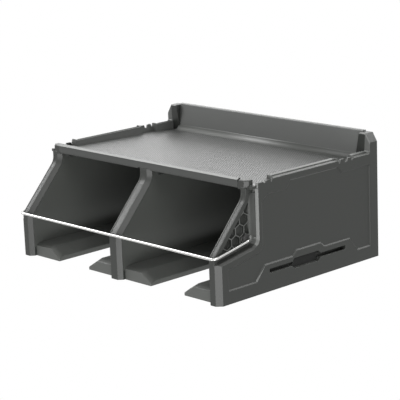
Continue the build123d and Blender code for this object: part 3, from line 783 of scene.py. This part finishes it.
def build_grain():
    """Mould grain: tone, roughness and height."""
    group, start, end = node_group(
        "mould_grain",
        [
            ("Colour", "NodeSocketColor", (0.05, 0.05, 0.05, 1)),
            ("Tone spread", "NodeSocketFloat", 0.12),
            ("Roughness", "NodeSocketFloat", 0.45),
            ("Roughness spread", "NodeSocketFloat", 0.08),
            ("Grain size", "NodeSocketFloat", 1800.0),
        ],
        [
            ("Colour", "NodeSocketColor"),
            ("Roughness", "NodeSocketFloat"),
            ("Height", "NodeSocketFloat"),
        ],
    )
    nodes, links = group.nodes, group.links
    place = nodes.new("ShaderNodeTexCoord")
    grain = nodes.new("ShaderNodeTexNoise")
    grain.inputs["Detail"].default_value = 3.0
    links.new(place.outputs["Object"], grain.inputs["Vector"])
    links.new(start.outputs["Grain size"], grain.inputs["Scale"])
    slow = nodes.new("ShaderNodeTexNoise")
    slow.inputs["Scale"].default_value = SLOW_SCALE
    slow.inputs["Detail"].default_value = 4.0
    links.new(place.outputs["Object"], slow.inputs["Vector"])
    both = nodes.new("ShaderNodeMath")
    both.operation = "MULTIPLY_ADD"
    both.inputs[1].default_value = FINE_SHARE
    links.new(grain.outputs["Fac"], both.inputs[0])
    links.new(slow.outputs["Fac"], both.inputs[2])
    centred = nodes.new("ShaderNodeMath")
    centred.operation = "SUBTRACT"
    centred.inputs[1].default_value = NOISE_MIDDLE
    links.new(both.outputs[0], centred.inputs[0])
    tone = nodes.new("ShaderNodeMath")
    tone.operation = "MULTIPLY_ADD"
    tone.inputs[2].default_value = 1.0
    links.new(centred.outputs[0], tone.inputs[0])
    links.new(start.outputs["Tone spread"], tone.inputs[1])
    scaled = nodes.new("ShaderNodeVectorMath")
    scaled.operation = "SCALE"
    links.new(start.outputs["Colour"], scaled.inputs[0])
    links.new(tone.outputs[0], scaled.inputs["Scale"])
    links.new(scaled.outputs[0], end.inputs["Colour"])
    rough = nodes.new("ShaderNodeMath")
    rough.operation = "MULTIPLY_ADD"
    links.new(centred.outputs[0], rough.inputs[0])
    links.new(start.outputs["Roughness spread"], rough.inputs[1])
    links.new(start.outputs["Roughness"], rough.inputs[2])
    links.new(rough.outputs[0], end.inputs["Roughness"])
    links.new(grain.outputs["Fac"], end.inputs["Height"])
    return group


grain_group = build_grain()
print("group", grain_group.name)


# %% Dust group
def build_dust():
    """Mask of dust that lies on surfaces facing up, broken up by noise."""
    group, start, end = node_group(
        "settled_dust",
        [("Amount", "NodeSocketFloat", 0.1), ("Patch size", "NodeSocketFloat", 60.0)],
        [("Mask", "NodeSocketFloat")],
    )
    nodes, links = group.nodes, group.links
    surface = nodes.new("ShaderNodeNewGeometry")
    parts = nodes.new("ShaderNodeSeparateXYZ")
    links.new(surface.outputs["Normal"], parts.inputs[0])
    upward = nodes.new("ShaderNodeMath")
    upward.operation = "MAXIMUM"
    upward.inputs[1].default_value = 0.0
    links.new(parts.outputs["Z"], upward.inputs[0])
    place = nodes.new("ShaderNodeTexCoord")
    patches = nodes.new("ShaderNodeTexNoise")
    patches.inputs["Detail"].default_value = 6.0
    links.new(place.outputs["Object"], patches.inputs["Vector"])
    links.new(start.outputs["Patch size"], patches.inputs["Scale"])
    product = nodes.new("ShaderNodeMath")
    product.operation = "MULTIPLY"
    links.new(upward.outputs[0], product.inputs[0])
    links.new(patches.outputs["Fac"], product.inputs[1])
    amount = nodes.new("ShaderNodeMath")
    amount.operation = "MULTIPLY"
    links.new(product.outputs[0], amount.inputs[0])
    links.new(start.outputs["Amount"], amount.inputs[1])
    links.new(amount.outputs[0], end.inputs["Mask"])
    return group


dust_group = build_dust()
print("group", dust_group.name)

# %% [markdown]
# ## Plastic finishes
#
# All mouldings are dark plastic, but their moulds differ in grain. So one helper builds every
# finish, with its own colour, roughness, grain and relief. The palest finish is a painted highlight
# on the strips along the beam and the rails, and the darkest and dullest is painted shade on the
# floor of the side slots.

# %% Helper: a plastic finish
DUST_COLOUR = (0.32, 0.32, 0.31, 1)
PLASTIC_RELIEF = 0.05 * MM


def plastic(name, colour, roughness, grain_size, bump, dust=0.08, gloss=0.5):
    """Moulded plastic with grain and a trace of dust."""
    material = bpy.data.materials.new(name)
    material.use_nodes = True
    nodes, links = material.node_tree.nodes, material.node_tree.links
    shader = nodes["Principled BSDF"]
    shader.inputs["Specular IOR Level"].default_value = gloss
    grain = nodes.new("ShaderNodeGroup")
    grain.node_tree = grain_group
    grain.inputs["Colour"].default_value = (*colour, 1)
    grain.inputs["Roughness"].default_value = roughness
    grain.inputs["Grain size"].default_value = grain_size
    dusty = nodes.new("ShaderNodeGroup")
    dusty.node_tree = dust_group
    dusty.inputs["Amount"].default_value = dust
    colour_mix = nodes.new("ShaderNodeMix")
    colour_mix.data_type = "RGBA"
    colour_mix.inputs["B"].default_value = DUST_COLOUR
    links.new(dusty.outputs["Mask"], colour_mix.inputs["Factor"])
    links.new(grain.outputs["Colour"], colour_mix.inputs["A"])
    links.new(colour_mix.outputs["Result"], shader.inputs["Base Color"])
    links.new(grain.outputs["Roughness"], shader.inputs["Roughness"])
    relief = nodes.new("ShaderNodeBump")
    relief.inputs["Strength"].default_value = bump
    relief.inputs["Distance"].default_value = PLASTIC_RELIEF
    links.new(grain.outputs["Height"], relief.inputs["Height"])
    links.new(relief.outputs["Normal"], shader.inputs["Normal"])
    return material


# Name, colour, roughness, grain size and strength of the relief.
shell_plastic = plastic("shell_plastic", (0.021, 0.0226, 0.0206), 0.40, 1800, 0.4, gloss=0.32)
bay_plastic = plastic("bay_plastic", (0.05, 0.053, 0.049), 0.45, 1500, 0.35)
deck_plastic = plastic("deck_plastic", (0.025, 0.027, 0.025), 0.34, 1500, 0.3)
# The pale colour of the strips on the beam and rails is a painted highlight; their low roughness
# makes them glossy.
painted_highlight_strip_plastic = plastic("painted_highlight_strip_plastic", (0.17, 0.175, 0.17), 0.24, 1500, 0.15)
back_plastic = plastic("back_plastic", (0.062, 0.065, 0.062), 0.38, 1500, 0.3)
# The paler colour on the ribs, the recess's rear wall and the rails is painted light; the roughness
# is much the same as the shell's.
painted_light_plastic = plastic("painted_light_plastic", (0.085, 0.088, 0.084), 0.42, 1500, 0.3)
grip_plastic = plastic("grip_plastic", (0.05, 0.052, 0.05), 0.36, 1500, 0.3)
bush_plastic = plastic("bush_plastic", (0.03, 0.03, 0.03), 0.4, 1500, 0.2)
# The near-black colour of the floor of the side slots is painted shade; its high roughness keeps it
# dull.
painted_shade_plastic = plastic("painted_shade_plastic", (0.006, 0.0065, 0.006), 0.62, 1500, 0.3, dust=0.0, gloss=0.2)
print("plastic finishes from", shell_plastic.name, "to", painted_shade_plastic.name)

# %% [markdown]
# ## Metal finishes
#
# The wire is drawn and plated steel: bright, but not a mirror. The washers and screws are duller.
# All are the same metal shader, and the grain group gives them faint marks.

# %% Metal finishes
METAL_TONE_SPREAD = 0.06
METAL_ROUGHNESS_SPREAD = 0.1
METAL_GRAIN = 900
METAL_RELIEF = 0.02 * MM


def metal(name, colour, roughness, scratch):
    """Plated steel with fine drawing marks."""
    material = bpy.data.materials.new(name)
    material.use_nodes = True
    nodes, links = material.node_tree.nodes, material.node_tree.links
    shader = nodes["Principled BSDF"]
    shader.inputs["Metallic"].default_value = 1.0
    grain = nodes.new("ShaderNodeGroup")
    grain.node_tree = grain_group
    grain.inputs["Colour"].default_value = (*colour, 1)
    grain.inputs["Tone spread"].default_value = METAL_TONE_SPREAD
    grain.inputs["Roughness"].default_value = roughness
    grain.inputs["Roughness spread"].default_value = METAL_ROUGHNESS_SPREAD
    grain.inputs["Grain size"].default_value = METAL_GRAIN
    links.new(grain.outputs["Colour"], shader.inputs["Base Color"])
    links.new(grain.outputs["Roughness"], shader.inputs["Roughness"])
    relief = nodes.new("ShaderNodeBump")
    relief.inputs["Strength"].default_value = scratch
    relief.inputs["Distance"].default_value = METAL_RELIEF
    links.new(grain.outputs["Height"], relief.inputs["Height"])
    links.new(relief.outputs["Normal"], shader.inputs["Normal"])
    return material


# Name, colour, roughness and strength of the marks.
bright_wire = metal("bright_wire", (0.5, 0.5, 0.49), 0.2, 0.2)
clip_steel = metal("clip_steel", (0.45, 0.45, 0.45), 0.35, 0.3)
screw_steel = metal("screw_steel", (0.52, 0.51, 0.48), 0.38, 0.3)
print("metal finishes", bright_wire.name, clip_steel.name, screw_steel.name)

# %% [markdown]
# ## Which piece gets which finish
#
# Each moulding takes one main finish. The side walls take two more, on faces that are picked by
# where they are: a paler colour as painted light on the honeycomb's ribs, the recess's rear wall
# and the rails, and near-black painted shade, rough and dull, on the floor of the wide pocket. That
# needs no extra pieces, and both sides come out alike.


# %% Give every moulding its finish
def finish(thing, material):
    """One material for the whole piece."""
    thing.data.materials.clear()
    thing.data.materials.append(material)


for piece in (*side_mouldings, divider_moulding):
    finish(piece, shell_plastic)
for piece in (tray_moulding, knurl):
    finish(piece, deck_plastic)
finish(back_moulding, back_plastic)
for piece in bay_mouldings:
    finish(piece, bay_plastic)
print("main finishes given")

# %% Painted light and shade on the side walls
# In mm on the model's own axes, with X taken without its sign.
PAINTED_LIGHT, PAINTED_SHADE = 1, 2
RECESS_REACH_X = (203.0, 219.9)
RECESS_REAR_Y = (-261.0, -253.5)
RECESS_TOP_Z = 75.0
RIB_REACH = 0.15
RAIL_FOOT_Z, RAIL_LIP_Z = 64.0, 72.0
RAIL_INNER_X, RAIL_GROOVE_X, RAIL_LIP_X = 207.0, 218.4, 219.9
RAIL_REACH_Y = (-230.0, -16.0)
POCKET_TOP_Z = -40.0
POCKET_REACH_Y = (-200.0, -90.0)
POCKET_X, POCKET_REACH = 215.5, 0.2
FACES_SIDEWAYS, FACES_FRONT = 0.9, -0.4


def within(value, limits):
    """True strictly between two limits."""
    return limits[0] < value < limits[1]


def in_recess(x, y, z, normal):
    """Ribs and rear wall of the recess for the wire."""
    rib = abs(x - POCKET_FLOOR_X) < RIB_REACH and abs(normal.x) > FACES_SIDEWAYS
    rear_wall = (
        within(x, RECESS_REACH_X) and within(y, RECESS_REAR_Y) and normal.y < FACES_FRONT
    )
    return y < RECESS_REAR_Y[1] and z < RECESS_TOP_Z and (rib or rear_wall)


def on_rail(x, y, z):
    """Top of a rail; below the outer lip it stops short of the wall's own upper edge."""
    outer = RAIL_LIP_X if z > RAIL_LIP_Z else RAIL_GROOVE_X
    return z > RAIL_FOOT_Z and within(x, (RAIL_INNER_X, outer)) and within(y, RAIL_REACH_Y)


def on_pocket_floor(x, y, z):
    """Floor of the wide pocket around the side slot."""
    return z < POCKET_TOP_Z and within(y, POCKET_REACH_Y) and abs(x - POCKET_X) < POCKET_REACH


def second_finishes(moulding):
    """Painted light on the recess and rails, and painted shade on the floor of the wide pocket."""
    # Painted light and painted shade go into the second and third slots.
    moulding.data.materials.append(painted_light_plastic)
    moulding.data.materials.append(painted_shade_plastic)
    counts = {PAINTED_LIGHT: 0, PAINTED_SHADE: 0}
    for face in moulding.data.polygons:
        x, y, z = (value / MM for value in face.center)
        x = abs(x)
        # Ribs, rear wall and rails get painted light.
        if in_recess(x, y, z, face.normal) or on_rail(x, y, z):
            face.material_index = PAINTED_LIGHT
        # The floor of the wide pocket gets painted shade.
        elif on_pocket_floor(x, y, z):
            face.material_index = PAINTED_SHADE
        else:
            continue
        counts[face.material_index] += 1
    print(moulding.name, "painted light faces", counts[PAINTED_LIGHT], "painted shade faces", counts[PAINTED_SHADE])


for piece in side_mouldings:
    second_finishes(piece)

# %% Finish the trim and the small solids
finish(cove, bay_plastic)
for piece in linings:
    finish(piece, bay_plastic)
for piece in grips:
    finish(piece, grip_plastic)
# The strips on the beam and rails carry the painted highlight.
for piece in painted_highlight:
    finish(piece, painted_highlight_strip_plastic)
node_finishes = {
    "right_inner_wall": bay_plastic,
    "left_inner_wall": bay_plastic,
    "divider_cover": bay_plastic,
    "right_pivot_bush": bush_plastic,
    "left_pivot_bush": bush_plastic,
    "retaining_bail": bright_wire,
    "right_bail_clip": clip_steel,
    "left_bail_clip": clip_steel,
    "floor_screws": screw_steel,
    "deck_screws": screw_steel,
    "back_panel_screws": screw_steel,
}
for node, material in node_finishes.items():
    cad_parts[node].material_slots[0].material = material
print("finished", len(node_finishes), "solids")

# %% End of the scene
print("scene built")
